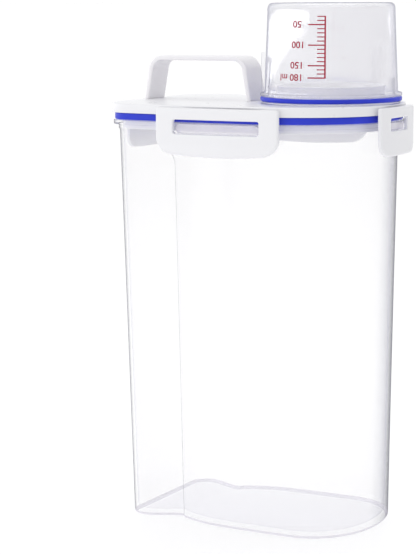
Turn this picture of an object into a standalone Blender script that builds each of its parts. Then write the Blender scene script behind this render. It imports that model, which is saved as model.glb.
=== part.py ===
"""Airtight pet food bin: clear container, four-latch lid with gasket, carry handle and pour spout,
and a clear measuring cup that closes the spout. Metres, +Z up, +X towards the spout, -Y is the front.
The origin is on the resting surface, under the middle of the object.
"""

from math import cos, pi, sin, sqrt

import bmesh
import bpy
from mathutils import Matrix

# --- driving dimensions -------------------------------------------------------------------------
GAP = 0.0003  # clearance between separate pieces

# Plan of the container: straight at the handle end, a long rounded nose at the spout end.
BASE_HALF = (0.0702, 0.0460)  # half length and half width at the foot
MOUTH_HALF = (0.0748, 0.0538)  # the same, just under the rim
PLAN_CORNER = (0.0095, 0.0135)  # corner radius at the handle end, at the foot and at the mouth
NOSE_START = (0.034, 0.010)  # where the nose starts, at the foot and at the mouth
NOSE_POWER = (2.15, 2.3)  # superellipse power of the nose, at the foot and at the mouth
SIDE_BOW = (0.0035, 0.0042)  # how much the long sides bow out, at the foot and at the mouth

WALL = 0.0020
FLOOR = 0.0030
BAND_LOW_Z = 0.2252  # thickened band under the rim
FLANGE_LOW_Z = 0.2280
RIM_Z = 0.2305
FLANGE_GROW = 0.0034  # flange outside the mouth's wall

GRIP_DEPTH = 0.0090  # finger recess on both long sides, near the handle end
GRIP_TOP = (0.213, 0.222)  # the recess runs out between these heights
GRIP_CREASE_X = -0.0375  # the recess is deepest here
GRIP_END_X = -0.0060  # and it has run out here

SKIRT_LOW_Z = 0.2348
LID_TOP_Z = 0.2402
LID_GROW = 0.0041  # lid skirt outside the mouth's wall
SKIRT_WALL = 0.0022
PLUG_GROW = -0.0023  # outer face of the plug that enters the mouth
PLUG_WALL = 0.0020
PLUG_LOW_Z = 0.2255
PLATE = 0.0024

HINGE_Z = 0.2380
HINGE_GROW = 0.0050  # latch axis outside the mouth's wall
LATCH_LOW_Z = 0.2121
LATCH_TOP_RISE = 0.0012
LATCH_THICK = 0.0024
SEAT_DEEP = 0.0020  # the lid's skirt is cut back this far behind a latch's axis
SEAT_TOP_RISE = 0.0015  # top of that cut, above the axis, under the lid's thin top lip
SEAT_END = 0.0042  # the cut's lower part runs this far past each end of a latch
WIDE_LATCH = {"half": 0.0379, "window": 0.0265, "window_z": (0.2247, 0.2325), "crown": 0.0015, "sag": 0.0020,
              "corner": 0.0095}
NARROW_LATCH = {"half": 0.0225, "window": 0.0115, "window_z": (0.2259, 0.2329), "crown": 0.0006, "sag": 0.0008,
                "corner": 0.0070}
NOSE_LATCH = {**NARROW_LATCH, "crown": 0.0014}
LUG_SHORT = 0.0022  # a lug is this much shorter than its window at each end
LUG_TOP_Z = 0.2302
LUG_SLOPE = 0.0010  # a lug's underside rises this much outwards
WIDE_LATCH_X = -0.0021  # middle of the wide latches along X

SPOUT_X = 0.0395
SPOUT_BORE_R = 0.0280
SPOUT_NECK_R = 0.0300
SPOUT_TOP_Z = 0.2500
CUP_MOUTH_R = 0.0373  # outside, at the flange
CUP_END_R = 0.0354  # outside, at the closed end
CUP_WALL = 0.0016
CUP_FLANGE_R = 0.0396
SEAL_R = (0.0357, 0.0396)
SEAL_Z = (0.2414, 0.2438)
CUP_LOW_Z = 0.2441
CUP_TOP_Z = 0.2956
CUP_RIB_ANGLE = 200.0  # degrees from +X; the cup's rib for the finger
CUP_RIB_R = 0.0391
CUP_RIB_RISE = 0.0222

HANDLE_FEET_X = (-0.0763, -0.0060)  # outer faces of the two legs at the lid
HANDLE_TOP_INSET = 0.0042  # the legs lean in by this much
HANDLE_TOP_Z = 0.2655
HANDLE_THICK = 0.0026
HANDLE_HALF_WIDTH = 0.0095
HANDLE_BEND = 0.0080
FOOT_POCKET = 0.0012

ROUND_STEPS = 56


def clear_scene():
    for obj in list(bpy.data.objects):
        bpy.data.objects.remove(obj, do_unlink=True)


def material(name, color, roughness, alpha=1.0, transmission=0.0):
    mat = bpy.data.materials.new(name)
    mat.use_nodes = True
    shader = mat.node_tree.nodes["Principled BSDF"]
    shader.inputs["Base Color"].default_value = (*color, 1.0)
    shader.inputs["Roughness"].default_value = roughness
    shader.inputs["Metallic"].default_value = 0.0
    shader.inputs["Alpha"].default_value = alpha
    shader.inputs["Transmission Weight"].default_value = transmission
    mat.diffuse_color = (*color, alpha)
    return mat


def new_object(name, mesh, mat, location=(0, 0, 0), turn=0.0):
    obj = bpy.data.objects.new(name, mesh)
    bpy.context.scene.collection.objects.link(obj)
    obj.location = location
    obj.rotation_euler = (0, 0, turn)
    mesh.materials.append(mat)
    return obj


def loft(rings, closed=False, smooth_degrees=32):
    """A mesh through rings of equal length: capped at both ends, or joined end to end when closed."""
    bm = bmesh.new()
    loops = [[bm.verts.new(point) for point in ring] for ring in rings]
    count = len(loops[0])
    pairs = list(zip(loops, loops[1:]))
    if closed:
        pairs.append((loops[-1], loops[0]))
    for low, high in pairs:
        for i in range(count):
            j = (i + 1) % count
            bm.faces.new((low[i], low[j], high[j], high[i]))
    if not closed:
        bm.faces.new(list(reversed(loops[0])))
        bm.faces.new(loops[-1])
    bmesh.ops.recalc_face_normals(bm, faces=bm.faces)
    mesh = bpy.data.meshes.new("mesh")
    bm.to_mesh(mesh)
    bm.free()
    mesh.shade_smooth()
    mesh.set_sharp_from_angle(angle=smooth_degrees * pi / 180)
    return mesh


def box_mesh(low, high):
    """A box from its lowest corner to its highest."""
    bm = bmesh.new()
    bmesh.ops.create_cube(bm, size=1.0)
    size = [b - a for a, b in zip(low, high)]
    middle = [(a + b) / 2 for a, b in zip(low, high)]
    bmesh.ops.transform(bm, matrix=Matrix.Translation(middle) @ Matrix.Diagonal((*size, 1)), verts=bm.verts)
    mesh = bpy.data.meshes.new("box")
    bm.to_mesh(mesh)
    bm.free()
    return mesh


def helper(name, mesh, location=(0, 0, 0), turn=0.0):
    """A hidden shape that a Boolean modifier uses."""
    obj = bpy.data.objects.new(name, mesh)
    bpy.context.scene.collection.objects.link(obj)
    obj.location = location
    obj.rotation_euler = (0, 0, turn)
    obj.hide_render = True
    obj.display_type = "WIRE"
    return obj


def boolean(obj, tool, operation):
    mod = obj.modifiers.new(f"{operation.lower()} {tool.name}", "BOOLEAN")
    mod.operation = operation
    mod.solver = "EXACT"
    mod.object = tool


def bevel(obj, width, segments=2, degrees=40):
    mod = obj.modifiers.new("soft edges", "BEVEL")
    mod.width = width
    mod.segments = segments
    mod.limit_method = "ANGLE"
    mod.angle_limit = degrees * pi / 180


# --- the plan outline -----------------------------------------------------------------------------
class Plan:
    """The container's outline at one level; level 0 is the foot's shape and level 1 the mouth's."""

    def __init__(self, level, grow=0.0, grip=0.0):
        def mix(pair):
            return pair[0] + (pair[1] - pair[0]) * level

        self.half_x = mix((BASE_HALF[0], MOUTH_HALF[0])) + grow
        self.half_y = mix((BASE_HALF[1], MOUTH_HALF[1])) + grow
        self.nose = mix(NOSE_START)
        self.power = mix(NOSE_POWER)
        self.bow = mix(SIDE_BOW)
        self.corner = max(mix(PLAN_CORNER) + grow, 0.004)
        self.grip = grip

    def corner_x(self):
        return -self.half_x + self.corner

    def grip_share(self, x):
        """How much of the finger recess there is at x: none at the end's corner, all at the crease."""
        if x <= GRIP_CREASE_X:
            return 0.5 - 0.5 * cos(pi * (x - self.corner_x()) / (GRIP_CREASE_X - self.corner_x()))
        return run_out(x, GRIP_CREASE_X, GRIP_END_X)

    def side(self, x):
        """Half width of the outline at x."""
        if x > self.nose:
            share = min(1.0, (x - self.nose) / (self.half_x - self.nose))
            return self.half_y * (1 - share**self.power) ** (1 / self.power)
        share = (self.nose - x) / (self.nose - self.corner_x())
        return self.half_y - self.bow * share**2 - self.grip * self.grip_share(x)

    def nose_tip(self, y):
        """How far the nose reaches along X at y."""
        share = min(1.0, abs(y) / self.half_y)
        return self.nose + (self.half_x - self.nose) * (1 - share**self.power) ** (1 / self.power)

    def stations(self):
        """X places along a long side, from the handle end's corner to the nose."""
        before, after = GRIP_CREASE_X - self.corner_x(), GRIP_END_X - GRIP_CREASE_X
        places = [self.corner_x() + before * share for share in (0.0, 0.25, 0.5, 0.75, 1.0)]
        places += [GRIP_CREASE_X + after * share for share in (0.15, 0.35, 0.65, 1.0)]
        places += [(GRIP_END_X + self.nose) / 2, self.nose]
        return places

    def points(self):
        """The outline, counter-clockwise from the front of the handle end."""
        front = [(x, -self.side(x)) for x in self.stations()]
        nose_steps = 18
        for i in range(1, nose_steps):
            turn = pi / 2 * i / nose_steps
            reach = sin(turn) ** (2 / self.power)
            depth = cos(turn) ** (2 / self.power)
            front.append((self.nose + (self.half_x - self.nose) * reach, -self.half_y * depth))
        tip = [(self.half_x, 0.0)]
        back = [(x, -y) for x, y in reversed(front)]
        corner_y = self.side(self.corner_x()) - self.corner
        corner_steps = 6
        corner = []
        for i in range(1, corner_steps + 1):
            turn = pi / 2 * i / corner_steps
            corner.append((self.corner_x() - self.corner * sin(turn), corner_y + self.corner * cos(turn)))
        far_corner = [(x, -y) for x, y in reversed(corner)]
        return front + tip + back + corner + far_corner

    def ring(self, z):
        return [(x, y, z) for x, y in self.points()]


def mouth_ring(grow, z):
    return Plan(1.0, grow).ring(z)


def run_out(value, start, end):
    """One at the start and before it, falling away at once and levelling off to nothing at the end."""
    share = min(1.0, max(0.0, (value - start) / (end - start)))
    return (1 - share) ** 2


def wall_ring(z, inset=0.0):
    """The container's wall at height z, inset from its outer face."""
    grip = GRIP_DEPTH * run_out(z, *GRIP_TOP)
    return Plan(min(1.0, z / FLANGE_LOW_Z), -inset, grip).ring(z)


# --- the container --------------------------------------------------------------------------------
def lug_ring(side, along, out, z_low, z_high):
    """One cross-section of a catch lug: a block from inside the wall out to the latch plate."""
    root = Plan(1.0, -WALL / 2)
    if side in ("front", "back"):
        sign = -1 if side == "front" else 1
        x = WIDE_LATCH_X + along
        near, far = root.side(x), MOUTH_HALF[1] + out
        return [(x, sign * near, z_low), (x, sign * far, z_low + LUG_SLOPE), (x, sign * far, z_high),
                (x, sign * near, z_high)]
    sign = 1 if side == "right" else -1
    near = root.nose_tip(along) if side == "right" else root.half_x
    far = MOUTH_HALF[0] + out
    return [(sign * near, along, z_low), (sign * far, along, z_low + LUG_SLOPE), (sign * far, along, z_high),
            (sign * near, along, z_high)]


def catch_lug(side, latch):
    """The moulded ledge that a latch snaps over."""
    out = HINGE_GROW - 0.0005 - GAP
    half = latch["window"] - LUG_SHORT
    steps = 6
    rings = []
    for i in range(steps + 1):
        along = -half + 2 * half * i / steps
        fall = latch["crown"] * (along / latch["half"]) ** 2
        rings.append(lug_ring(side, along, out - fall, latch["window_z"][0], LUG_TOP_Z))
    return helper(f"{side} lug", loft(rings))


def container(mat):
    rings = [Plan(0.0, -0.0030, GRIP_DEPTH).ring(0.0)]
    rings.append(Plan(0.0, -0.0010, GRIP_DEPTH).ring(0.0007))
    rings.append(wall_ring(0.0030))
    rings += [wall_ring(z) for z in (0.060, 0.130, 0.190)]
    grip_heights = [GRIP_TOP[0] + (GRIP_TOP[1] - GRIP_TOP[0]) * i / 4 for i in range(5)]
    rings += [wall_ring(z) for z in grip_heights]
    rings.append(wall_ring(BAND_LOW_Z))
    rings.append(mouth_ring(0.0006, BAND_LOW_Z + 0.0006))
    rings.append(mouth_ring(0.0006, FLANGE_LOW_Z))
    rings.append(mouth_ring(FLANGE_GROW, FLANGE_LOW_Z + 0.0003))
    rings.append(mouth_ring(FLANGE_GROW, RIM_Z))
    rings.append(mouth_ring(-WALL + 0.0002, RIM_Z))
    rings.append(wall_ring(BAND_LOW_Z - 0.003, WALL))
    rings += [wall_ring(z, WALL) for z in reversed(grip_heights)]
    rings += [wall_ring(z, WALL) for z in (0.190, 0.130, 0.060)]
    rings.append(wall_ring(FLOOR + 0.0030, WALL))
    rings.append(wall_ring(FLOOR + 0.0008, WALL + 0.0010))
    rings.append(wall_ring(FLOOR, WALL + 0.0030))
    obj = new_object("container_body", loft(rings), mat)
    for side, latch, _, _ in latch_seats():
        boolean(obj, catch_lug(side, latch), "UNION")


# --- the lid ----------------------------------------------------------------------------------------
def lid_gasket(mat):
    """A stem that sits in the lid's groove and a lip that seals on the rim."""
    low = RIM_Z + GAP
    shoulder = SKIRT_LOW_Z - GAP
    groove_top = LID_TOP_Z - PLATE - GAP
    profile = [
        (PLUG_GROW + GAP, low + 0.0006), (PLUG_GROW + GAP + 0.0006, low),
        (0.0021, low), (0.0027, low + 0.0007), (0.0026, shoulder),
        (0.0012, shoulder + 0.0004), (0.0010, groove_top), (-0.0010, groove_top),
        (-0.0012, shoulder + 0.0004), (PLUG_GROW + GAP, shoulder),
    ]
    rings = [mouth_ring(grow, z) for grow, z in profile]
    new_object("lid_gasket", loft(rings, closed=True), mat)


def latch_seats():
    """Side name, latch sizes, hinge-axis place and turn about Z of each latch."""
    reach_x = MOUTH_HALF[0] + HINGE_GROW
    reach_y = MOUTH_HALF[1] + HINGE_GROW
    return [
        ("front", WIDE_LATCH, (WIDE_LATCH_X, -reach_y, HINGE_Z), 0.0),
        ("right", NOSE_LATCH, (reach_x, 0.0, HINGE_Z), pi / 2),
        ("back", WIDE_LATCH, (WIDE_LATCH_X, reach_y, HINGE_Z), pi),
        ("left", NARROW_LATCH, (-reach_x, 0.0, HINGE_Z), -pi / 2),
    ]


def lid_shell(mat):
    groove_top = LID_TOP_Z - PLATE
    skirt_in = LID_GROW - SKIRT_WALL
    rings = [
        mouth_ring(LID_GROW - 0.0012, LID_TOP_Z),
        mouth_ring(LID_GROW - 0.0004, LID_TOP_Z - 0.0004),
        mouth_ring(LID_GROW, LID_TOP_Z - 0.0013),
        mouth_ring(LID_GROW, SKIRT_LOW_Z),
        mouth_ring(skirt_in, SKIRT_LOW_Z),
        mouth_ring(skirt_in, groove_top),
        mouth_ring(PLUG_GROW, groove_top),
        mouth_ring(PLUG_GROW, PLUG_LOW_Z + 0.0010),
        mouth_ring(PLUG_GROW - 0.0006, PLUG_LOW_Z),
        mouth_ring(PLUG_GROW - PLUG_WALL, PLUG_LOW_Z),
        mouth_ring(PLUG_GROW - PLUG_WALL, groove_top),
    ]
    obj = new_object("lid_shell", loft(rings), mat)
    bore = helper("spout opening", turned_mesh([(SPOUT_NECK_R + GAP, 0.230), (SPOUT_NECK_R + GAP, 0.250)]),
                  (SPOUT_X, 0, 0))
    boolean(obj, bore, "DIFFERENCE")
    for side, latch, place, turn in latch_seats():
        half = latch["half"]
        slot = box_mesh((-half - 0.0006, -0.004, -0.010), (half + 0.0006, SEAT_DEEP, SEAT_TOP_RISE))
        boolean(obj, helper(f"{side} latch seat", slot, place, turn), "DIFFERENCE")
        reach = half + SEAT_END
        ends = box_mesh((-reach, -0.004, -0.010), (reach, SEAT_DEEP, -0.0004))
        boolean(obj, helper(f"{side} latch end seats", ends, place, turn), "DIFFERENCE")
    for foot in HANDLE_FEET_X:
        inward = HANDLE_THICK if foot == HANDLE_FEET_X[0] else -HANDLE_THICK
        low_x, high_x = sorted((foot, foot + inward))
        pocket = box_mesh(
            (low_x - GAP - 0.0002, -HANDLE_HALF_WIDTH - GAP, LID_TOP_Z - FOOT_POCKET - GAP),
            (high_x + GAP + 0.0002, HANDLE_HALF_WIDTH + GAP, LID_TOP_Z + 0.01),
        )
        boolean(obj, helper(f"foot pocket {foot}", pocket), "DIFFERENCE")


def latch_section(latch, along):
    """One cross-section of a latch, across its plate: y is outward when negative, z from the hinge axis."""
    low = LATCH_LOW_Z - HINGE_Z
    half, corner = latch["half"], latch["corner"]
    low += latch["sag"] * (along / half) ** 2
    past = max(0.0, abs(along) - (half - corner)) / corner
    low += corner * (1 - sqrt(max(0.0, 1 - past**2))) * 0.92
    high = LATCH_TOP_RISE
    top_corner = 0.0030
    past = max(0.0, abs(along) - (half - top_corner)) / top_corner
    high -= top_corner * (1 - sqrt(max(0.0, 1 - past**2))) * 0.8
    near = 0.0005 + latch["crown"] * (along / half) ** 2
    far = near - LATCH_THICK
    middle = (near + far) / 2
    return [
        (along, near, low + 0.0007), (along, near, high - 0.0006), (along, near - 0.0006, high),
        (along, far + 0.0008, high), (along, far, high - 0.0009), (along, far, low + 0.0060),
        (along, far - 0.0005, low + 0.0010), (along, middle - 0.0003, low),
    ]


def latch_body(side, latch, place, turn, mat):
    half, corner = latch["half"], latch["corner"]
    ends = [half - corner * (1 - sin(pi / 2 * i / 5)) for i in range(6)]
    flat = [half - corner] + [(half - corner) * share for share in (0.66, 0.33, 0.0)]
    right = sorted(set(ends + flat))
    stations = [-x for x in reversed(right) if x > 0] + right
    rings = [latch_section(latch, x) for x in stations]
    obj = new_object(f"latch_{side}", loft(rings), mat, place, turn)
    low, high = (z - HINGE_Z for z in latch["window_z"])
    window = box_mesh((-latch["window"], -0.010, low), (latch["window"], 0.010, high))
    boolean(obj, helper(f"{side} window", window, place, turn), "DIFFERENCE")


# --- turned pieces ----------------------------------------------------------------------------------
def circle(radius, z):
    turns = [2 * pi * i / ROUND_STEPS for i in range(ROUND_STEPS)]
    return [(radius * cos(turn), radius * sin(turn), z) for turn in turns]


def turned_mesh(profile, closed=False):
    """Turns (radius, z) points about the Z axis."""
    return loft([circle(radius, z) for radius, z in profile], closed)


def spout_insert(mat):
    flange_low = LID_TOP_Z + GAP
    flange_top = SEAL_Z[0] - GAP
    rib_r = SEAL_R[0] - GAP
    profile = [
        (SPOUT_BORE_R, 0.2360), (SPOUT_NECK_R, 0.2360), (SPOUT_NECK_R, flange_low),
        (SEAL_R[1] - 0.0006, flange_low), (SEAL_R[1] - 0.0006, flange_top), (rib_r, flange_top),
        (rib_r, 0.2452), (rib_r - 0.0014, 0.2452), (rib_r - 0.0014, flange_top),
        (SPOUT_NECK_R, flange_top), (SPOUT_NECK_R, SPOUT_TOP_Z - 0.0010),
        (SPOUT_NECK_R + 0.0008, SPOUT_TOP_Z), (SPOUT_BORE_R + 0.0004, SPOUT_TOP_Z),
    ]
    new_object("spout_insert", turned_mesh(profile, closed=True), mat, (SPOUT_X, 0, 0))


def cup_seal_ring(mat):
    (inner, outer), (low, high) = SEAL_R, SEAL_Z
    soft = 0.0006
    profile = [
        (inner, low + soft), (inner + soft, low), (outer - soft, low), (outer, low + soft),
        (outer, high - soft), (outer - soft, high), (inner + soft, high), (inner, high - soft),
    ]
    new_object("cup_seal_ring", turned_mesh(profile, closed=True), mat, (SPOUT_X, 0, 0))


def measuring_cup(mat):
    """The cup stands upside down on the seal; its rib for the finger is on the handle's side.

    The profile runs from the middle of the closed end down the inside, round the mouth and up the outside.
    """
    flange_top = CUP_LOW_Z + 0.0019
    end_corner = 0.0030
    wall_top = CUP_TOP_Z - end_corner
    outer = [
        (CUP_MOUTH_R - CUP_WALL, CUP_LOW_Z), (CUP_FLANGE_R, CUP_LOW_Z), (CUP_FLANGE_R, flange_top),
        (CUP_MOUTH_R + 0.0003, flange_top), (CUP_MOUTH_R, flange_top + 0.0005), (CUP_END_R, wall_top),
    ]
    arc = [pi / 2 * i / 4 for i in range(1, 5)]
    outer += [(CUP_END_R - end_corner * (1 - cos(turn)), wall_top + end_corner * sin(turn)) for turn in arc]
    inner_r = CUP_END_R - CUP_WALL
    inner_corner = end_corner - CUP_WALL / 2
    inner_top = CUP_TOP_Z - CUP_WALL - inner_corner
    inner = [(inner_r - inner_corner * (1 - cos(turn)), inner_top + inner_corner * sin(turn))
             for turn in reversed(arc)]
    inner.append((inner_r, inner_top))
    obj = new_object("measuring_cup", turned_mesh(inner + outer), mat, (SPOUT_X, 0, 0))
    rib = box_mesh(
        (CUP_MOUTH_R - 0.0022, -0.0011, flange_top - 0.0006), (CUP_RIB_R, 0.0011, flange_top + CUP_RIB_RISE)
    )
    boolean(obj, helper("cup rib", rib, (SPOUT_X, 0, 0), CUP_RIB_ANGLE * pi / 180), "UNION")


# --- the carry handle -----------------------------------------------------------------------------
def handle_path(inset):
    """The strap's line in the XZ plane, from the left foot over the top to the right foot."""
    foot_z = LID_TOP_Z - FOOT_POCKET
    left, right = HANDLE_FEET_X[0] + inset, HANDLE_FEET_X[1] - inset
    top_left, top_right = left + HANDLE_TOP_INSET, right - HANDLE_TOP_INSET
    top = HANDLE_TOP_Z - inset
    bend = HANDLE_BEND - inset
    lean = HANDLE_TOP_INSET / (HANDLE_TOP_Z - foot_z)
    path = [(left, foot_z), (top_left - lean * bend, top - bend)]
    for i in range(1, 7):
        turn = pi / 2 * i / 6
        path.append((top_left + bend * (1 - cos(turn)), top - bend * (1 - sin(turn))))
    for i in range(7):
        turn = pi / 2 * i / 6
        path.append((top_right - bend * (1 - sin(turn)), top - bend * (1 - cos(turn))))
    path.append((right, foot_z))
    return path


def carry_handle(mat):
    outline = handle_path(0.0) + list(reversed(handle_path(HANDLE_THICK)))
    rings = [[(x, y, z) for x, z in outline] for y in (-HANDLE_HALF_WIDTH, HANDLE_HALF_WIDTH)]
    obj = new_object("carry_handle", loft(rings), mat)
    bevel(obj, 0.0006)


def build():
    clear_scene()
    clear = material("clear_plastic", (0.92, 0.92, 0.97), 0.08, alpha=0.35, transmission=1.0)
    cup_clear = material("cup_plastic", (0.90, 0.90, 0.95), 0.12, alpha=0.4, transmission=1.0)
    white = material("white_plastic", (0.93, 0.93, 0.94), 0.35)
    latch_white = material("latch_plastic", (0.92, 0.92, 0.94), 0.38)
    silicone = material("blue_silicone", (0.04, 0.06, 0.55), 0.5)
    container(clear)
    lid_gasket(silicone)
    lid_shell(white)
    for side, latch, place, turn in latch_seats():
        latch_body(side, latch, place, turn, latch_white)
    spout_insert(cup_clear)
    cup_seal_ring(silicone)
    measuring_cup(cup_clear)
    carry_handle(white)


build()
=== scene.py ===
"""The looks of the airtight pet food bin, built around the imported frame. Metres, in the frame's own axes."""

from math import atan, cos, hypot, pi, radians, sin

import bmesh
import bpy
from mathutils import Matrix, Vector


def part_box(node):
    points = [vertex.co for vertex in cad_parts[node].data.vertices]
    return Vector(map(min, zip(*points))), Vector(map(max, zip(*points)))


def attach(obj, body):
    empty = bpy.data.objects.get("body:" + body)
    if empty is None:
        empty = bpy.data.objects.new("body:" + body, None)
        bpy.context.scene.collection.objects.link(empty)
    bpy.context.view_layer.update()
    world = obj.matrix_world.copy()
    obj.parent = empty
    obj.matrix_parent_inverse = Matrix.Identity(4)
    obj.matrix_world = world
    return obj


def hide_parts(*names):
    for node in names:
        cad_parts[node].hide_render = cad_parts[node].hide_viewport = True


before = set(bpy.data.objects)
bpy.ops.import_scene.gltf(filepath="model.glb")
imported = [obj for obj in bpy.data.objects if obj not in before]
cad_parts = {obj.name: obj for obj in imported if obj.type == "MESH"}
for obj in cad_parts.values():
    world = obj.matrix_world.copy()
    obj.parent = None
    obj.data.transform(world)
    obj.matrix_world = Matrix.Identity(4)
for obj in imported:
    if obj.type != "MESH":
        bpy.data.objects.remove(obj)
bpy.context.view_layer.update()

# --- the sizes that the pieces share with the frame ---------------------------------------------------
GAP = 0.0003
BASE_HALF = (0.0702, 0.0460)
MOUTH_HALF = (0.0748, 0.0538)
# The next four are pairs: at the foot, at the mouth.
PLAN_CORNER = (0.0095, 0.0135)
NOSE_START = (0.034, 0.010)
NOSE_POWER = (2.15, 2.3)
SIDE_BOW = (0.0035, 0.0042)
WALL = 0.0020
FLOOR = 0.0030
BAND_LOW_Z = 0.2252
FLANGE_LOW_Z = 0.2280
RIM_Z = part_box("container_body")[1].z
FLANGE_GROW = 0.0034
GRIP_DEPTH = 0.0090
GRIP_TOP = 0.2130
GRIP_CREASE_X = -0.0375
GRIP_CORNER = 0.0070
GRIP_TAIL = (0.0315, 0.0090)  # towards the nose, and upwards
GRIP_LIP = 0.17  # the share of the depth that drops at the crease
GRIP_LIP_WIDTH = 0.0018
SKIRT_LOW_Z = 0.2348
LID_TOP_Z = 0.2402
LID_GROW = 0.0041
SKIRT_WALL = 0.0022
PLUG_GROW = -0.0023
PLUG_WALL = 0.0020
PLUG_LOW_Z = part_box("lid_shell")[0].z
PLATE = 0.0024
HINGE_Z = 0.2380
HINGE_GROW = 0.0050
LATCH_LOW_Z = 0.2121
LATCH_TOP_RISE = 0.0009
LATCH_THICK = 0.0024
SEAT_DEEP = 0.0020
SEAT_TOP_RISE = 0.0015
SEAT_END = 0.0042
WIDE_LATCH = {
    "half": 0.0379, "window": 0.0265, "window_z": (0.2247, 0.2325),
    "crown": 0.0015, "sag": 0.0020, "corner": 0.0095,
}
NARROW_LATCH = {
    "half": 0.0225, "window": 0.0115, "window_z": (0.2259, 0.2329),
    "crown": 0.0006, "sag": 0.0008, "corner": 0.0070,
}
NOSE_LATCH = {**NARROW_LATCH, "crown": 0.0014}
WIDE_LATCH_X = -0.0021
LUG_TOP_Z = 0.2302
LUG_IN_WINDOW = 0.0002  # how far a lug's face stands past the hinge line
LUG_SPARE = 0.0009
LUG_END_RUN = 0.0015
LUG_END_DROP = 0.0008
SPOUT_X = 0.0395
SPOUT_BORE_R = 0.0280
SPOUT_NECK_R = 0.0300
SPOUT_TOP_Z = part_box("spout_insert")[1].z
CUP_MOUTH_R = 0.0373
CUP_END_R = 0.0354
CUP_WALL = 0.0016
CUP_FLANGE_R = 0.0396
SEAL_R = (0.0357, 0.0396)
SEAL_Z = (0.2414, 0.2438)
CUP_LOW_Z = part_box("measuring_cup")[0].z
CUP_TOP_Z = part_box("measuring_cup")[1].z
CUP_RIB_ANGLE = 200.0
CUP_RIB_R = 0.0391
CUP_RIB_RISE = 0.0222
HANDLE_FEET_X = (-0.0763, -0.0060)
HANDLE_TOP_INSET = 0.0042
HANDLE_TOP_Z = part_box("carry_handle")[1].z
HANDLE_THICK = 0.0026
HANDLE_HALF_WIDTH = 0.0095
HANDLE_BEND = 0.0080
FOOT_POCKET = 0.0012
ROUND_STEPS = 144
MATERIAL_SLOTS = 3


# --- materials ----------------------------------------------------------------------------------------
class Look:
    """A node material, built a node at a time."""

    def __init__(self, name):
        self.mat = bpy.data.materials.new(name)
        self.mat.use_nodes = True
        self.tree = self.mat.node_tree
        self.tree.nodes.clear()
        self.place = self.node("ShaderNodeTexCoord").outputs["Object"]

    def node(self, kind, settings=None, **inputs):
        made = self.tree.nodes.new(kind)
        for key, value in (settings or {}).items():
            setattr(made, key, value)
        for key, value in inputs.items():
            self.feed(made.inputs[key.replace("_", " ")], value)
        return made

    def feed(self, socket, value):
        if isinstance(value, bpy.types.NodeSocket):
            self.tree.links.new(value, socket)
        elif isinstance(value, tuple) and socket.type == "RGBA":
            socket.default_value = (*value, 1.0)
        else:
            socket.default_value = value

    def noise(self, scale, detail, stretch=(1, 1, 1)):
        moved = self.node("ShaderNodeMapping", Vector=self.place, Scale=stretch)
        return self.node("ShaderNodeTexNoise", Vector=moved.outputs[0], Scale=scale, Detail=detail,
                         Roughness=0.55).outputs[0]

    def between(self, noise, low, high):
        """The usual range of a noise, spread from low to high."""
        return self.node("ShaderNodeMapRange", Value=noise, From_Min=0.3, From_Max=0.7, To_Min=low,
                         To_Max=high).outputs[0]

    def ramp(self, value, *stops):
        made = self.node("ShaderNodeValToRGB", Fac=value)
        points = made.color_ramp.elements
        while len(points) < len(stops):
            points.new(1.0)
        for point, (place, color) in zip(points, stops):
            point.position = place
            point.color = (*color, 1.0)
        return made.outputs[0]

    def maths(self, operation, first, second):
        made = self.node("ShaderNodeMath", {"operation": operation})
        self.feed(made.inputs[0], first)
        self.feed(made.inputs[1], second)
        return made.outputs[0]

    def bump(self, height, strength, distance):
        return self.node("ShaderNodeBump", Height=height, Strength=strength, Distance=distance).outputs[0]

    def mix(self, share, first, second):
        made = self.node("ShaderNodeMixShader", Fac=share)
        self.tree.links.new(first, made.inputs[1])
        self.tree.links.new(second, made.inputs[2])
        return made.outputs[0]

    def done(self, shader):
        out = self.node("ShaderNodeOutputMaterial")
        self.tree.links.new(shader, out.inputs["Surface"])
        return self.mat


def moulded_plastic(name, color, roughness):
    """Opaque moulded plastic: slow changes of tone and gloss, and a fine orange-peel surface."""
    look = Look(name)
    slow = look.noise(18.0, 2.0)
    tone = look.ramp(slow, (0.25, tuple(c * 0.985 for c in color)), (0.75, color))
    gloss = look.between(look.noise(220.0, 4.0), roughness - 0.03, roughness + 0.03)
    peel = look.bump(look.noise(900.0, 2.0), 0.012, 0.00010)
    wave = look.node("ShaderNodeBump", Height=look.noise(9.0, 0.0), Strength=0.01, Distance=0.0006,
                     Normal=peel)
    shader = look.node("ShaderNodeBsdfPrincipled", Base_Color=tone, Roughness=gloss, IOR=1.49,
                       Normal=wave.outputs[0])
    return look.done(shader.outputs[0])


def silicone(name, color):
    """Soft deep-coloured rubber with a satin face."""
    look = Look(name)
    tone = look.ramp(look.noise(60.0, 3.0), (0.3, tuple(c * 0.88 for c in color)), (0.7, color))
    gloss = look.between(look.noise(400.0, 3.0), 0.40, 0.52)
    peel = look.bump(look.noise(1400.0, 2.0), 0.10, 0.00008)
    shader = look.node("ShaderNodeBsdfPrincipled", Base_Color=tone, Roughness=gloss, IOR=1.36, Normal=peel,
                       Specular_IOR_Level=0.35)
    return look.done(shader.outputs[0])


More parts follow.
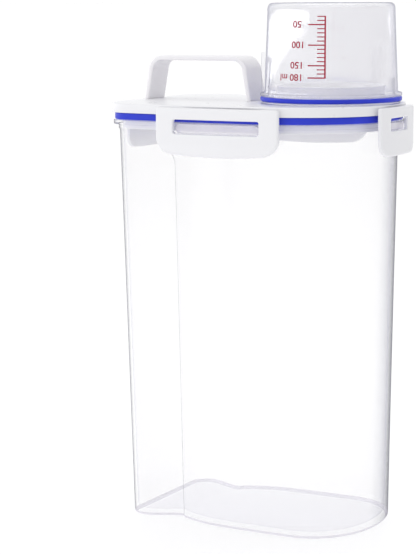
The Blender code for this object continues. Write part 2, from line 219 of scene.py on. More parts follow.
def clear_plastic(name, haze, face_on, edge_tint_and_shade, shines, glow=(0.93, 0.93, 0.97)):
    """Thin clear moulded plastic: see-through face on, slightly hazy, and at a grazing angle running to its
    edge colour, which is partly the plastic's tint and partly painted shade for the darker surroundings the
    wall would show by refraction.

    The shines are its mirror share face on, and what a grazing angle adds. Only the camera sees the tint:
    light passes almost untouched, as it does through a thin wall.
    """
    look = Look(name)
    flow = look.noise(26.0, 3.0, stretch=(1, 1, 0.35))
    wave = look.bump(flow, 0.08, 0.0008)
    facing = look.node("ShaderNodeLayerWeight", Blend=0.5, Normal=wave).outputs["Facing"]
    # At a grazing angle the see-through colour runs to the edge colour: painted shade at the silhouettes, on
    # top of the plastic's own tint.
    slanted = tuple(c * 0.990 for c in face_on)
    tint_and_shade_soft, tint_and_shade_strong = (tuple(c + (1 - c) * share for c in edge_tint_and_shade) for share in (0.80, 0.57))
    passed = look.ramp(facing, (0.0, face_on), (0.50, slanted), (0.66, tint_and_shade_soft), (0.79, tint_and_shade_strong), (1.0, edge_tint_and_shade))
    see_through = look.node("ShaderNodeBsdfTransparent", Color=passed).outputs[0]
    grazing = look.maths("POWER", facing, 3.0)
    patchy = look.between(look.noise(70.0, 3.0), haze * 0.92, haze * 1.08)
    share = look.maths("ADD", patchy, look.maths("MULTIPLY", grazing, 0.15))
    milky = look.node("ShaderNodeBsdfDiffuse", Color=glow).outputs[0]
    body = look.mix(share, see_through, milky)
    gloss = look.between(look.noise(160.0, 4.0), 0.04, 0.10)
    mirror = look.node("ShaderNodeBsdfGlossy", Color=(1.0, 1.0, 1.0), Roughness=gloss, Normal=wave).outputs[0]
    shine = look.maths("ADD", look.maths("MULTIPLY", look.maths("POWER", facing, 5.0), shines[1]), shines[0])
    seen = look.mix(shine, body, mirror)
    passing = tuple(c * 0.985 for c in face_on)
    lit_through = look.node("ShaderNodeBsdfTransparent", Color=passing).outputs[0]
    camera_ray = look.node("ShaderNodeLightPath").outputs["Is Camera Ray"]
    return look.done(look.mix(camera_ray, lit_through, seen))


def printed_ink(name, color):
    """Screen-printed ink: matt, a little uneven in cover."""
    look = Look(name)
    tone = look.ramp(look.noise(1800.0, 2.0), (0.3, tuple(c * 0.82 for c in color)), (0.7, color))
    shader = look.node("ShaderNodeBsdfPrincipled", Base_Color=tone, Roughness=0.60, IOR=1.45,
                       Specular_IOR_Level=0.25)
    return look.done(shader.outputs[0])


# Each piece's materials: the outside, then the inside, then what is thick.
# The edge colours are partly each plastic's tint and partly painted shade, darkest on the outsides, where the
# silhouettes are painted dark.
CLEAR = (
    clear_plastic("clear_container", 0.003, (0.998, 0.997, 0.999), (0.10, 0.10, 0.15), (0.03, 0.10)),
    clear_plastic("clear_container_inside", 0.003, (0.998, 0.997, 0.999), (0.80, 0.80, 0.86), (0.03, 0.50)),
    clear_plastic("clear_container_thick", 0.60, (0.97, 0.965, 0.98), (0.50, 0.48, 0.58), (0.03, 0.10),
                  (0.74, 0.72, 0.79)),
)
CUP_CLEAR = (
    clear_plastic("clear_cup", 0.030, (0.955, 0.953, 0.964), (0.30, 0.30, 0.42), (0.08, 0.20)),
    clear_plastic("clear_cup_inside", 0.030, (0.958, 0.956, 0.967), (0.82, 0.82, 0.88), (0.08, 0.60)),
)
SPOUT_CLEAR = (clear_plastic("clear_spout", 0.55, (0.985, 0.984, 0.990), (0.90, 0.90, 0.93), (0.03, 0.20),
                             (0.95, 0.95, 0.96)),)
WHITE = (moulded_plastic("white_lid_plastic", (0.815, 0.815, 0.84), 0.30),)
LATCH_WHITE = (moulded_plastic("white_latch_plastic", (0.825, 0.825, 0.85), 0.34),)
HANDLE_WHITE = (moulded_plastic("white_handle_plastic", (0.855, 0.843, 0.867), 0.36),)
BLUE = (silicone("blue_silicone_rubber", (0.030, 0.050, 0.62)),)
RED_INK = (printed_ink("red_scale_ink", (0.39, 0.005, 0.032)),)


# --- mesh helpers -------------------------------------------------------------------------------------
def ring_mesh(name, rings, closed=False):
    """A mesh through rings of equal length: joined end to end when closed, or else capped at both ends."""
    count = len(rings[0])
    verts = [point for ring in rings for point in ring]
    last = len(rings) if closed else len(rings) - 1
    faces = []
    for r in range(last):
        low, high = r * count, (r + 1) % len(rings) * count
        for i in range(count):
            j = (i + 1) % count
            faces.append((low + i, low + j, high + j, high + i))
    if not closed:
        faces.append(tuple(reversed(range(count))))
        faces.append(tuple(range((len(rings) - 1) * count, len(rings) * count)))
    mesh = bpy.data.meshes.new(name)
    mesh.from_pydata(verts, [], faces)
    bm = bmesh.new()
    bm.from_mesh(mesh)
    bmesh.ops.recalc_face_normals(bm, faces=bm.faces)
    bm.to_mesh(mesh)
    bm.free()
    for _ in range(MATERIAL_SLOTS):
        mesh.materials.append(None)
    return mesh


def box_mesh(low, high):
    bm = bmesh.new()
    bmesh.ops.create_cube(bm, size=1.0)
    size = [b - a for a, b in zip(low, high)]
    middle = [(a + b) / 2 for a, b in zip(low, high)]
    bmesh.ops.transform(bm, matrix=Matrix.Translation(middle) @ Matrix.Diagonal((*size, 1)), verts=bm.verts)
    mesh = bpy.data.meshes.new("box")
    bm.to_mesh(mesh)
    bm.free()
    return mesh


def placed(mesh, place=(0, 0, 0), turn=0.0):
    mesh.transform(Matrix.Translation(place) @ Matrix.Rotation(turn, 4, "Z"))
    return mesh


def cut_or_join(mesh, tools, operation):
    """The mesh after a Boolean with each tool mesh."""
    obj = bpy.data.objects.new("work", mesh)
    bpy.context.scene.collection.objects.link(obj)
    helpers = []
    for tool in tools:
        helper = bpy.data.objects.new("tool", tool)
        bpy.context.scene.collection.objects.link(helper)
        helpers.append(helper)
        mod = obj.modifiers.new("work", "BOOLEAN")
        mod.operation = operation
        mod.solver = "EXACT"
        mod.object = helper
    bpy.context.view_layer.update()
    made = bpy.data.meshes.new_from_object(obj.evaluated_get(bpy.context.evaluated_depsgraph_get()))
    for unused in [obj, *helpers]:
        bpy.data.objects.remove(unused)
    return made


def marked(mesh, slot, first=0, last=None):
    """The mesh with a run of its faces in one of its material slots."""
    for face in mesh.polygons[first:last]:
        face.material_index = slot
    return mesh


def add_piece(name, mesh, mats, body, slot, *nodes, sharp=40):
    """Shows a mesh as a piece that moves with a body and stands for the named nodes."""
    while len(mesh.materials) < len(mats):
        mesh.materials.append(None)
    while len(mesh.materials) > len(mats):
        mesh.materials.pop()
    for i, mat in enumerate(mats):
        mesh.materials[i] = mat
    mesh.shade_smooth()
    mesh.set_sharp_from_angle(angle=radians(sharp))
    obj = bpy.data.objects.new(name, mesh)
    bpy.context.scene.collection.objects.link(obj)
    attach(obj, body)
    if nodes:
        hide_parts(*nodes)


def soft_step(share):
    share = min(1.0, max(0.0, share))
    return share * share * (3 - 2 * share)


def spaced(start, end, steps):
    """Places from start towards end, without the end itself."""
    return [start + (end - start) * i / steps for i in range(steps)]


def rounded(corners, steps=4, closed=True):
    """A polygon of (u, v, radius) corners with each corner rounded."""
    out = []
    count = len(corners)
    for i, (u, v, radius) in enumerate(corners):
        here = Vector((u, v))
        if radius == 0 or (not closed and i in (0, count - 1)):
            out.append((u, v))
            continue
        before = Vector(corners[i - 1][:2]) - here
        after = Vector(corners[(i + 1) % count][:2]) - here
        half = before.angle(after) / 2
        reach = min(radius / max(0.05, sin(half) / cos(half)), before.length * 0.49, after.length * 0.49)
        first, last = here + before.normalized() * reach, here + after.normalized() * reach
        for k in range(steps + 1):
            t = k / steps
            point = first * (1 - t) ** 2 + here * (2 * t * (1 - t)) + last * t**2
            out.append((point.x, point.y))
    return out


# --- the plan outline ---------------------------------------------------------------------------------
class Plan:
    """The container's outline at a height; level 0 is the foot's shape and level 1 the mouth's."""

    def __init__(self, level, grow=0.0, grip_z=None):
        def mix(pair):
            return pair[0] + (pair[1] - pair[0]) * level

        self.half_x = mix((BASE_HALF[0], MOUTH_HALF[0])) + grow
        self.half_y = mix((BASE_HALF[1], MOUTH_HALF[1])) + grow
        self.nose = mix(NOSE_START)
        self.power = mix(NOSE_POWER)
        self.bow = mix(SIDE_BOW)
        self.corner = max(mix(PLAN_CORNER) + grow, 0.004)
        self.corner_x = -self.half_x + self.corner
        self.grip_z = grip_z

    def grip(self, x):
        """Depth of the finger recess: full inside a round-cornered crease, running out across its tail."""
        if self.grip_z is None:
            return 0.0
        across = max(0.0, x - (GRIP_CREASE_X - GRIP_CORNER))
        up = max(0.0, self.grip_z - (GRIP_TOP - GRIP_CORNER))
        reach = hypot(across, up)
        beyond, share, lip = reach - GRIP_CORNER, 0.0, 0.0
        if beyond > 0:
            tail = (GRIP_TAIL[0] * across + GRIP_TAIL[1] * up) / reach
            share, lip = min(1.0, beyond / tail), GRIP_LIP * across / reach
        fall = (1 - lip) * (1 - share) ** 2 + lip * soft_step(1 - beyond / GRIP_LIP_WIDTH)
        ramp = min(1.0, max(0.0, (x - self.corner_x) / (GRIP_CREASE_X - self.corner_x)))
        return GRIP_DEPTH * fall * (0.5 - 0.5 * cos(pi * ramp))

    def side(self, x):
        """Half width of the outline at x."""
        if x > self.nose:
            share = min(1.0, (x - self.nose) / (self.half_x - self.nose))
            return self.half_y * (1 - share**self.power) ** (1 / self.power)
        share = (self.nose - x) / (self.nose - self.corner_x)
        return self.half_y - self.bow * share**2 - self.grip(x)

    def nose_tip(self, y):
        share = min(1.0, abs(y) / self.half_y)
        return self.nose + (self.half_x - self.nose) * (1 - share**self.power) ** (1 / self.power)

    def points(self):
        """The outline, counter-clockwise from the handle end of the front."""
        lean = atan(2 * self.bow / (self.nose - self.corner_x))
        first = self.corner_x - self.corner * sin(lean)
        crease_start, crease_end, recess_end = -0.046, -0.034, -0.004
        xs = spaced(first, crease_start, 8) + spaced(crease_start, crease_end, 30)
        xs += spaced(crease_end, recess_end, 16) + spaced(recess_end, self.nose, 6)
        front = [(x, -self.side(x)) for x in xs]
        nose_steps = 44
        for i in range(nose_steps):
            turn = pi / 2 * i / nose_steps
            reach, depth = sin(turn) ** (2 / self.power), cos(turn) ** (2 / self.power)
            front.append((self.nose + (self.half_x - self.nose) * reach, -self.half_y * depth))
        back = [(x, -y) for x, y in reversed(front)]
        middle_y = self.side(first) - self.corner * cos(lean)
        corner_steps = 12
        corner = []
        for i in range(1, corner_steps + 1):
            turn = lean + (pi / 2 - lean) * i / corner_steps
            corner.append((self.corner_x - self.corner * sin(turn), middle_y + self.corner * cos(turn)))
        return front + [(self.half_x, 0.0)] + back + corner + [(x, -y) for x, y in reversed(corner)]

    def ring(self, z):
        return [(x, y, z) for x, y in self.points()]


def mouth_rings(profile):
    """Rings that follow the mouth's outline, for a profile of (grow, z) points."""
    return [Plan(1.0, grow).ring(z) for grow, z in profile]


def wall_ring(z, inset=0.0):
    return Plan(min(1.0, z / FLANGE_LOW_Z), -inset, z).ring(z)


# --- the container ------------------------------------------------------------------------------------
def lug_mesh(side, latch):
    """The moulded ledge that a latch snaps over, lowered and set back towards each end."""
    out = HINGE_GROW + LUG_IN_WINDOW
    root = Plan(1.0, -WALL / 2)
    half = latch["window"] - LUG_SPARE
    rings = []
    steps = 24
    for i in range(steps + 1):
        along = -half + 2 * half * i / steps
        fall = latch["crown"] * (along / latch["half"]) ** 2
        from_end = min(half - abs(along), LUG_END_RUN)
        taper = LUG_END_DROP * (1 - from_end / LUG_END_RUN)
        if side in ("front", "back"):
            sign, reach = (-1, MOUTH_HALF[1]) if side == "front" else (1, MOUTH_HALF[1])
            x = WIDE_LATCH_X + along
            near = root.side(x)
        else:
            sign, reach = (1, MOUTH_HALF[0]) if side == "right" else (-1, MOUTH_HALF[0])
            near = root.nose_tip(along) if side == "right" else root.half_x
        far = reach + out - fall - taper
        low = latch["window_z"][0]
        section = rounded([(near, low, 0), (far, low + GAP + taper, 0.0004),
                           (far, LUG_TOP_Z - taper, 0.0004), (near, LUG_TOP_Z, 0)], 4)
        if side in ("front", "back"):
            rings.append([(x, sign * a, z) for a, z in section])
        else:
            rings.append([(sign * a, along, z) for a, z in section])
    return marked(ring_mesh("lug", rings), 2)


def container():
    foot_r, inner_r = 0.0017, 0.0032
    turns = [pi / 2 * i / 7 for i in range(8)]
    rings = []
    for turn in turns:
        z = foot_r * (1 - cos(turn))
        rings.append(Plan(0.0, -foot_r * (1 - sin(turn)), z).ring(z))
    wall_low, recess_low, wall_high = 0.010, 0.198, BAND_LOW_Z - 0.0006
    heights = spaced(wall_low, recess_low, 15) + spaced(recess_low, wall_high, 24) + [wall_high]
    rings += [wall_ring(z) for z in heights]
    rim = rounded([
        (0.0, BAND_LOW_Z - 0.0003, 0), (0.0006, BAND_LOW_Z + 0.0005, 0.0004), (0.0006, FLANGE_LOW_Z, 0.0004),
        (FLANGE_GROW, FLANGE_LOW_Z + 0.0002, 0.0005), (FLANGE_GROW, RIM_Z, 0.0006),
        (-WALL + 0.0002, RIM_Z, 0.0006), (-WALL, BAND_LOW_Z - 0.003, 0),
    ], 4, closed=False)
    rings += mouth_rings(rim)
    rings += [wall_ring(z, WALL) for z in reversed([z for z in heights if z < BAND_LOW_Z - 0.004])]
    for turn in reversed(turns):
        z = FLOOR + inner_r * (1 - cos(turn))
        rings.append(Plan(z / FLANGE_LOW_Z, -WALL - inner_r * (1 - sin(turn)), z).ring(z))
    per_ring = len(rings[0])
    foot_rings, outside_rings = len(turns) - 1, len(turns) + len(heights) + len(rim) * 3 // 4
    mesh = marked(ring_mesh("container", rings), 1, outside_rings * per_ring, len(rings) * per_ring)
    marked(mesh, 2, 0, foot_rings * per_ring)
    lugs = [lug_mesh(side, latch) for side, latch, _, _ in latch_seats()]
    mesh = cut_or_join(mesh, lugs, "UNION")
    add_piece("clear_container_moulding", mesh, CLEAR, "container", "clear_plastic", "container_body")


# --- the lid ------------------------------------------------------------------------------------------
def latch_seats():
    """Side name, latch sizes, hinge-axis place and turn about Z of each latch."""
    reach_x, reach_y = MOUTH_HALF[0] + HINGE_GROW, MOUTH_HALF[1] + HINGE_GROW
    return [
        ("front", WIDE_LATCH, (WIDE_LATCH_X, -reach_y, HINGE_Z), 0.0),
        ("right", NOSE_LATCH, (reach_x, 0.0, HINGE_Z), pi / 2),
        ("back", WIDE_LATCH, (WIDE_LATCH_X, reach_y, HINGE_Z), pi),
        ("left", NARROW_LATCH, (-reach_x, 0.0, HINGE_Z), -pi / 2),
    ]


def lid():
    groove_top = LID_TOP_Z - PLATE
    skirt_in = LID_GROW - SKIRT_WALL
    profile = rounded([
        (LID_GROW - 0.0030, LID_TOP_Z, 0), (LID_GROW, LID_TOP_Z, 0.0013), (LID_GROW, SKIRT_LOW_Z, 0.0004),
        (skirt_in, SKIRT_LOW_Z, 0.0004), (skirt_in, groove_top, 0.0003), (PLUG_GROW, groove_top, 0.0003),
        (PLUG_GROW, PLUG_LOW_Z, 0.0006), (PLUG_GROW - PLUG_WALL, PLUG_LOW_Z, 0.0006),
        (PLUG_GROW - PLUG_WALL, groove_top, 0.0005), (PLUG_GROW - PLUG_WALL - 0.002, groove_top, 0),
    ], 5, closed=False)
    bore_r = SPOUT_NECK_R + GAP
    bore = turned_mesh("bore", [(bore_r, LID_TOP_Z - 0.0102), (bore_r, LID_TOP_Z + 0.0098)], False)
    tools = [placed(bore, (SPOUT_X, 0, 0))]
    for _, latch, place, turn in latch_seats():
        half, reach = latch["half"] + 0.0006, latch["half"] + SEAT_END
        outward, below = -0.004, -0.010
        tools.append(placed(box_mesh((-half, outward, below), (half, SEAT_DEEP, SEAT_TOP_RISE)), place, turn))
        tools.append(placed(box_mesh((-reach, outward, below), (reach, SEAT_DEEP, -0.0004)), place, turn))
    for foot, inward in zip(HANDLE_FEET_X, (HANDLE_THICK, -HANDLE_THICK)):
        low_x, high_x = sorted((foot, foot + inward))
        spare = GAP + 0.0002
        tools.append(box_mesh((low_x - spare, -HANDLE_HALF_WIDTH - GAP, LID_TOP_Z - FOOT_POCKET - GAP),
                              (high_x + spare, HANDLE_HALF_WIDTH + GAP, LID_TOP_Z + 0.01)))
    mesh = cut_or_join(ring_mesh("lid", mouth_rings(profile)), tools, "DIFFERENCE")
    add_piece("white_lid_moulding", mesh, WHITE, "lid", "white_plastic", "lid_shell")


def gasket():
    low, shoulder = RIM_Z + GAP, SKIRT_LOW_Z - GAP
    groove_top = LID_TOP_Z - PLATE - GAP
    profile = rounded([
        (PLUG_GROW + GAP, low, 0.0006), (0.0027, low, 0.0009), (0.0026, shoulder, 0.0003),
        (0.0012, shoulder + 0.0004, 0.0002), (0.0010, groove_top, 0.0003), (-0.0010, groove_top, 0.0003),
        (-0.0012, shoulder + 0.0004, 0.0002), (PLUG_GROW + GAP, shoulder, 0.0003),
    ], 3)
    mesh = ring_mesh("gasket", mouth_rings(profile), closed=True)
    add_piece("blue_lid_gasket", mesh, BLUE, "lid", "blue_silicone", "lid_gasket")


# --- the latches --------------------------------------------------------------------------------------
def rounded_box(low, high, radii, inset=0.0):
    """A rounded rectangle, counter-clockwise from its low-left corner; the point count never changes."""
    (x0, z0), (x1, z1) = low, high
    x0, z0, x1, z1 = x0 + inset, z0 + inset, x1 - inset, z1 - inset
    bottom, top = (max(0.0002, r - inset) for r in radii)
    corners = [(x0, z0, bottom, pi), (x1, z0, bottom, 1.5 * pi), (x1, z1, top, 0.0), (x0, z1, top, 0.5 * pi)]
    side_steps = (28, 12, 28, 12)
    corner_steps = 10
    arcs = []
    for x, z, radius, start in corners:
        cx = x + radius if x == x0 else x - radius
        cz = z + radius if z == z0 else z - radius
        turns = [start + pi / 2 * i / corner_steps for i in range(corner_steps + 1)]
        arcs.append([(cx + radius * cos(turn), cz + radius * sin(turn)) for turn in turns])
    out = []
    for i, arc in enumerate(arcs):
        out += arc
        (ax, az), (bx, bz) = arc[-1], arcs[(i + 1) % 4][0]
        steps = side_steps[i]
        out += [(ax + (bx - ax) * k / steps, az + (bz - az) * k / steps) for k in range(1, steps)]
    return out


def latch_piece(side, latch, place, turn):
    """A flat snap latch with a window: a closed frame whose every edge is rounded."""
    half, low = latch["half"], LATCH_LOW_Z - HINGE_Z
    window_low, window_high = (z - HINGE_Z for z in latch["window_z"])
    near, far = 0.0005, 0.0005 - LATCH_THICK
    lip_rise = 0.0060

    def outline(inset):
        return rounded_box((-half, low), (half, LATCH_TOP_RISE), (latch["corner"], 0.0014), inset)

    def window(inset):
        reach = latch["window"]
        return rounded_box((-reach, window_low), (reach, window_high), (0.0014, 0.0010), -inset)

    def ring(points, y):
        made = []
        for x, z in points:
            share = (x / half) ** 2
            drop = latch["sag"] * share * soft_step((window_low - z) / (window_low - low))
            lip = 0.0005 * soft_step((low + lip_rise - z) / lip_rise) if y < near - 0.0006 else 0.0
            made.append((x, y + latch["crown"] * share - lip, z + drop))
        return made

    def blend(first, second, share):
        return [((1 - share) * a + share * c, (1 - share) * b + share * d)
                for (a, b), (c, d) in zip(first, second)]

    back_r, front_r, front_in, back_in, steps = 0.0006, 0.0011, 0.0008, 0.0004, 4
    arcs = [pi / 2 * i / steps for i in range(steps + 1)]
    rings = [ring(outline(back_r * (1 - sin(a))), near - back_r * (1 - cos(a))) for a in arcs]
    rings += [ring(outline(front_r * (1 - cos(a))), far + front_r * (1 - sin(a))) for a in arcs]
    rings += [ring(blend(outline(front_r), window(front_in), share), far) for share in (0.2, 0.4, 0.6, 0.8)]
    rings += [ring(window(front_in * (1 - sin(a))), far + front_in * (1 - cos(a))) for a in arcs]
    rings += [ring(window(back_in * (1 - cos(a))), near - back_in * (1 - sin(a))) for a in arcs]
    rings += [ring(blend(window(back_in), outline(back_r), share), near) for share in (0.25, 0.5, 0.75)]
    mesh = placed(ring_mesh("latch", rings, closed=True), place, turn)
    add_piece(f"white_latch_{side}", mesh, LATCH_WHITE, f"{side}_latch", "latch_plastic", f"latch_{side}")


# --- turned pieces ------------------------------------------------------------------------------------
def turned_mesh(name, profile, closed=True):
    turns = [2 * pi * i / ROUND_STEPS for i in range(ROUND_STEPS)]
    rings = [[(r * cos(turn), r * sin(turn), z) for turn in turns] for r, z in profile]
    return ring_mesh(name, rings, closed)


def spout():
    flange_low, flange_top = LID_TOP_Z + GAP, SEAL_Z[0] - GAP
    neck_low, rib_top = 0.2360, 0.2452
    rib_r = SEAL_R[0] - GAP
    edge_r = SEAL_R[1] - 0.0006
    profile = rounded([
        (SPOUT_BORE_R, neck_low, 0.0004), (SPOUT_NECK_R, neck_low, 0.0004),
        (SPOUT_NECK_R, flange_low, 0.0002),
        (edge_r, flange_low, 0.0003), (edge_r, flange_top, 0.0003), (rib_r, flange_top, 0.0002),
        (rib_r, rib_top, 0.0005), (rib_r - 0.0014, rib_top, 0.0005), (rib_r - 0.0014, flange_top, 0.0003),
        (SPOUT_NECK_R, flange_top, 0.0003), (SPOUT_NECK_R, SPOUT_TOP_Z - 0.0010, 0.0003),
        (SPOUT_NECK_R + 0.0008, SPOUT_TOP_Z - 0.0005, 0.0004), (SPOUT_NECK_R + 0.0004, SPOUT_TOP_Z, 0.0003),
        (SPOUT_BORE_R + 0.0002, SPOUT_TOP_Z, 0.0005),
    ], 3)
    mesh = placed(turned_mesh("spout", profile), (SPOUT_X, 0, 0))
    add_piece("clear_spout_insert", mesh, SPOUT_CLEAR, "lid", "cup_plastic", "spout_insert")


def seal_ring():
    (inner, outer), (low, high) = SEAL_R, SEAL_Z
    profile = rounded([(inner, low, 0.0006), (outer, low, 0.0009), (outer, high, 0.0009),
                       (inner, high, 0.0006)], 5)
    mesh = placed(turned_mesh("ring", profile), (SPOUT_X, 0, 0))
    add_piece("blue_cup_seal", mesh, BLUE, "lid", "blue_silicone", "cup_seal_ring")


def cup_radius(z):
    """Outer radius of the cup's wall at a height."""
    foot, end = 0.0024, 0.0030
    share = (z - CUP_LOW_Z - foot) / (CUP_TOP_Z - end - CUP_LOW_Z - foot)
    return CUP_MOUTH_R + (CUP_END_R - CUP_MOUTH_R) * share


def cup():
    flange_top = CUP_LOW_Z + 0.0019
    end_r, cap_r, bend_steps = 0.0034, 0.0140, 6
    inner_end = CUP_TOP_Z - CUP_WALL
    wall_steps = spaced(flange_top + 0.003, CUP_TOP_Z - 0.006, 8)
    inside = [(cup_radius(z) - CUP_WALL, z) for z in wall_steps]
    outside = [(cup_radius(z), z, 0) for z in wall_steps]
    profile = rounded(
        [(cap_r, inner_end, 0), (CUP_END_R - CUP_WALL, inner_end, end_r - CUP_WALL)]
        + [(r, z, 0) for r, z in reversed(inside)]
        + [(CUP_MOUTH_R - CUP_WALL, CUP_LOW_Z, 0.0005), (CUP_FLANGE_R, CUP_LOW_Z, 0.0005),
           (CUP_FLANGE_R, flange_top, 0.0006), (CUP_MOUTH_R, flange_top, 0.0005)]
        + outside
        + [(CUP_END_R, CUP_TOP_Z, end_r), (cap_r, CUP_TOP_Z, 0)], bend_steps, closed=False)
    mesh = placed(turned_mesh("cup", profile, False), (SPOUT_X, 0, 0))
    inside_rings = bend_steps + len(inside)
    marked(mesh, 1, 0, inside_rings * ROUND_STEPS)
    marked(mesh, 1, -2, -1)
    thick, top = 0.0011, flange_top + CUP_RIB_RISE
    outline = rounded([(CUP_MOUTH_R - 0.0010, flange_top - 0.0006, 0), (CUP_RIB_R, flange_top - 0.0006, 0),
                       (CUP_RIB_R, top, 0.0008), (CUP_MOUTH_R - 0.0020, top, 0)], 4)
    rib = ring_mesh("rib", [[(r, y, z) for r, z in outline] for y in (-thick, thick)])
    mesh = cut_or_join(mesh, [placed(rib, (SPOUT_X, 0, 0), radians(CUP_RIB_ANGLE))], "UNION")
    add_piece("clear_measuring_cup", mesh, CUP_CLEAR, "cup", "cup_plastic", "measuring_cup")


# --- the printed scale --------------------------------------------------------------------------------
INK = 0.00005
INK_LIFT = 0.00001
SCALE_LINE = -69.4  # degrees from +X
SCALE_RADIUS = 0.0370
SCALE_TOP_Z = 0.2885  # 30 ml, the highest with the cup upside down
SCALE_STEP = 0.002205  # 10 ml
SCALE_STEPS = 15
SCALE_NUMBERS = (("50", 2, -0.0144), ("100", 7, -0.0130), ("150", 12, -0.0136), ("180 ml", 15, -0.0138))
DIGIT_SIZE = 0.0051
DIGIT_WIDEN = 1.12


def on_cup(arc, z, lift=0.0):
    """A point on the cup's outside: arc is measured round the wall from the scale's line, to the right."""
    radius = cup_radius(z) + lift
    turn = radians(SCALE_LINE) + arc / SCALE_RADIUS
    return (SPOUT_X + radius * cos(turn), radius * sin(turn), z)


def ink_patch(left, right, low, high):
    """A thin printed patch that follows the wall."""
    steps = max(2, round((right - left) / 0.0005))
    rings = []
    for i in range(steps + 1):
        arc = left + (right - left) * i / steps
        rings.append([on_cup(arc, low, INK_LIFT), on_cup(arc, high, INK_LIFT), on_cup(arc, high, INK),
                      on_cup(arc, low, INK)])
    return ring_mesh("patch", rings)


def printed_number(text, start, middle_z):
    """Numerals that stand upright when the cup does, so they hang upside down here, running to the left."""
    curve = bpy.data.curves.new("number", "FONT")
    curve.body = text
    curve.size = DIGIT_SIZE
    curve.extrude = INK / 2
    curve.offset = 0.00006
    obj = bpy.data.objects.new("number", curve)
    bpy.context.scene.collection.objects.link(obj)
    bpy.context.view_layer.update()
    mesh = bpy.data.meshes.new_from_object(obj.evaluated_get(bpy.context.evaluated_depsgraph_get()))
    bpy.data.objects.remove(obj)
    digit_height = DIGIT_SIZE * 0.73
    bearing = min(vert.co.x for vert in mesh.vertices)
    for vert in mesh.vertices:
        u, v, lift = vert.co
        arc = start - (u - bearing) * DIGIT_WIDEN
        vert.co = on_cup(arc, middle_z - (v - digit_height / 2), lift + INK / 2 + INK_LIFT)
    return mesh


def scale_print():
    minor, major, line, tick = 0.0049, 0.0101, 0.00085, 0.00056
    parts = []
    lowest = SCALE_TOP_Z - SCALE_STEPS * SCALE_STEP
    parts.append(ink_patch(-line, 0.0, lowest - tick / 2, SCALE_TOP_Z + tick / 2))
    numbered = [i for _, i, _ in SCALE_NUMBERS]
    for i in range(SCALE_STEPS + 1):
        z = SCALE_TOP_Z - i * SCALE_STEP
        wide = tick * (1.25 if i in numbered else 1.0)
        reach = major if i in numbered else minor
        parts.append(ink_patch(-reach, -line, z - wide / 2, z + wide / 2))
    for text, i, start in SCALE_NUMBERS:
        parts.append(printed_number(text, start, SCALE_TOP_Z - i * SCALE_STEP))
    joined = bmesh.new()
    for part in parts:
        joined.from_mesh(part)
    bmesh.ops.remove_doubles(joined, verts=joined.verts, dist=0.000002)
    bmesh.ops.recalc_face_normals(joined, faces=joined.faces)
    mesh = bpy.data.meshes.new("scale")
    joined.to_mesh(mesh)
    joined.free()
    add_piece("red_scale_print", mesh, RED_INK, "cup", "cup_plastic", sharp=30)


# --- the handle ---------------------------------------------------------------------------------------
def handle_path(inset):
    """The strap's side view as (x, z) points from the left foot to the right one, set in from its outside."""
    foot_z = LID_TOP_Z - FOOT_POCKET
    left = HANDLE_FEET_X[0] + inset
    top_left = left + HANDLE_TOP_INSET
    top, bend = HANDLE_TOP_Z - inset, HANDLE_BEND - inset
    lean = HANDLE_TOP_INSET / (HANDLE_TOP_Z - foot_z)
    bend_steps = 14
    turns = [pi / 2 * i / bend_steps for i in range(bend_steps + 1)]
    knee_z = top - bend
    path = [(left + (top_left - lean * bend - left) * s, foot_z + (knee_z - foot_z) * s)
            for s in (0.0, 0.02, 0.25, 0.5, 0.75)]
    path += [(top_left - lean * bend * (1 - i / bend_steps) + bend * (1 - cos(t)), knee_z + bend * sin(t))
             for i, t in enumerate(turns)]
    middle = (HANDLE_FEET_X[0] + HANDLE_FEET_X[1]) / 2
    path += [(top_left + bend + (middle - top_left - bend) * s, top) for s in (0.25, 0.5, 0.75)]
    mirrored = [(2 * middle - x, z) for x, z in reversed(path)]
    return path + [(middle, top)] + mirrored


def handle():
    """A flat strap with softly rounded edges."""
    outer, inner = handle_path(0.0), handle_path(HANDLE_THICK)
    wide = HANDLE_HALF_WIDTH
    section = rounded([(-wide, 0, 0.0009), (wide, 0, 0.0009), (wide, HANDLE_THICK, 0.0009),
                       (-wide, HANDLE_THICK, 0.0009)], 5)
    rings = []
    for (ox, oz), (ix, iz) in zip(outer, inner):
        ring = []
        for y, depth in section:
            share = depth / HANDLE_THICK
            ring.append((ox + (ix - ox) * share, y, oz + (iz - oz) * share))
        rings.append(ring)
    mesh = ring_mesh("handle", rings)
    add_piece("white_carry_handle", mesh, HANDLE_WHITE, "lid", "handle_plastic", "carry_handle")


# --- the room -----------------------------------------------------------------------------------------
def floor():
    """A pale floor, wide enough to fill the view."""
    look = Look("pale_floor")
    tone = look.ramp(look.noise(3.0, 2.0), (0.3, (0.975, 0.975, 0.98)), (0.7, (0.985, 0.985, 0.99)))
    shader = look.node("ShaderNodeBsdfPrincipled", Base_Color=tone, Roughness=0.22, Specular_IOR_Level=0.45,
                       Emission_Color=(1.0, 1.0, 1.0), Emission_Strength=0.01)
    mesh = bpy.data.meshes.new("floor")
    reach = 40.0
    mesh.from_pydata([(-reach, -reach, 0), (reach, -reach, 0), (reach, reach, 0), (-reach, reach, 0)], [],
                     [(0, 1, 2, 3)])
    mesh.materials.append(look.done(shader.outputs[0]))
    obj = bpy.data.objects.new("floor", mesh)
    bpy.context.scene.collection.objects.link(obj)


def soft_light(name, place, target, size, power, roll=0.0):
    data = bpy.data.lights.new(name, "AREA")
    data.shape = "RECTANGLE"
    data.size, data.size_y = size
    data.energy = power
    obj = bpy.data.objects.new(name, data)
    obj.location = place
    # the light shines along its own -Z
    aim = (Vector(place) - Vector(target)).to_track_quat("Z", "Y").to_matrix().to_4x4()
    obj.rotation_euler = (aim @ Matrix.Rotation(roll, 4, "Z")).to_euler()
    bpy.context.scene.collection.objects.link(obj)


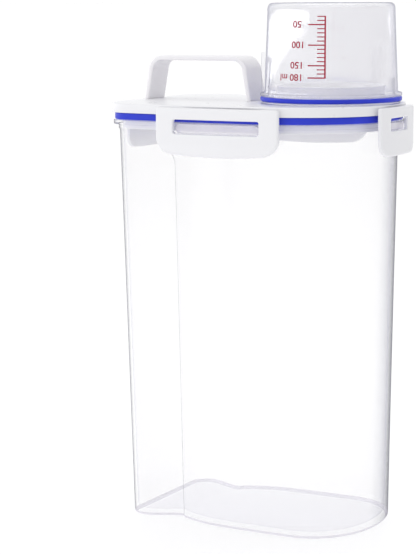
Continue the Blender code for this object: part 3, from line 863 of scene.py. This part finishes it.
def studio():
    """A bright even sky, dimmer towards +X, with a softbox above and a long low strip to the left."""
    world = bpy.data.worlds.new("studio")
    world.use_nodes = True
    tree = world.node_tree
    back = tree.nodes["Background"]
    direction = tree.nodes.new("ShaderNodeTexCoord")
    split = tree.nodes.new("ShaderNodeSeparateXYZ")
    fade = tree.nodes.new("ShaderNodeMapRange")
    fade.interpolation_type = "SMOOTHSTEP"
    tree.links.new(direction.outputs["Generated"], split.inputs[0])
    tree.links.new(split.outputs["X"], fade.inputs["Value"])
    for key, value in (("From Min", -0.1), ("From Max", 0.9), ("To Min", 1.05), ("To Max", 0.76)):
        fade.inputs[key].default_value = value
    tree.links.new(fade.outputs[0], back.inputs["Strength"])
    back.inputs["Color"].default_value = (1.0, 1.0, 1.0, 1.0)
    bpy.context.scene.world = world
    middle = (0.0, 0.0, 0.15)
    soft_light("top_softbox", (-0.1, 0.3, 1.7), middle, (1.2, 1.0), 2.5)
    strip_z, strip_roll = 0.334, 4.1
    soft_light("left_strip", (-0.90, -0.344, strip_z), (SPOUT_X, 0.0, strip_z), (2.8, 0.10), 2.2,
               radians(strip_roll))


def camera():
    """The viewing angle: from the front and a little right of it, slightly above."""
    data = bpy.data.cameras.new("camera")
    data.sensor_width = 36.0
    data.lens = 124.15
    data.clip_end = 50.0
    obj = bpy.data.objects.new("camera", data)
    azimuth, distance, height = radians(27.01), 1.092, 0.3031
    pitch, yaw, roll = radians(8.556), radians(1.830), radians(-0.351)
    obj.location = (distance * sin(azimuth), -distance * cos(azimuth), height)
    aim = Matrix.Rotation(azimuth + yaw, 4, "Z") @ Matrix.Rotation(pi / 2 - pitch, 4, "X")
    obj.rotation_euler = (aim @ Matrix.Rotation(roll, 4, "Z")).to_euler()
    bpy.context.scene.collection.objects.link(obj)
    bpy.context.scene.camera = obj


container()
lid()
gasket()
for seat in latch_seats():
    latch_piece(*seat)
spout()
seal_ring()
cup()
scale_print()
handle()
floor()
studio()
camera()

scene = bpy.context.scene
scene.view_settings.view_transform = "Standard"
scene.cycles.max_bounces = 14
scene.cycles.transparent_max_bounces = 32
scene.cycles.caustics_reflective = False
scene.cycles.caustics_refractive = False
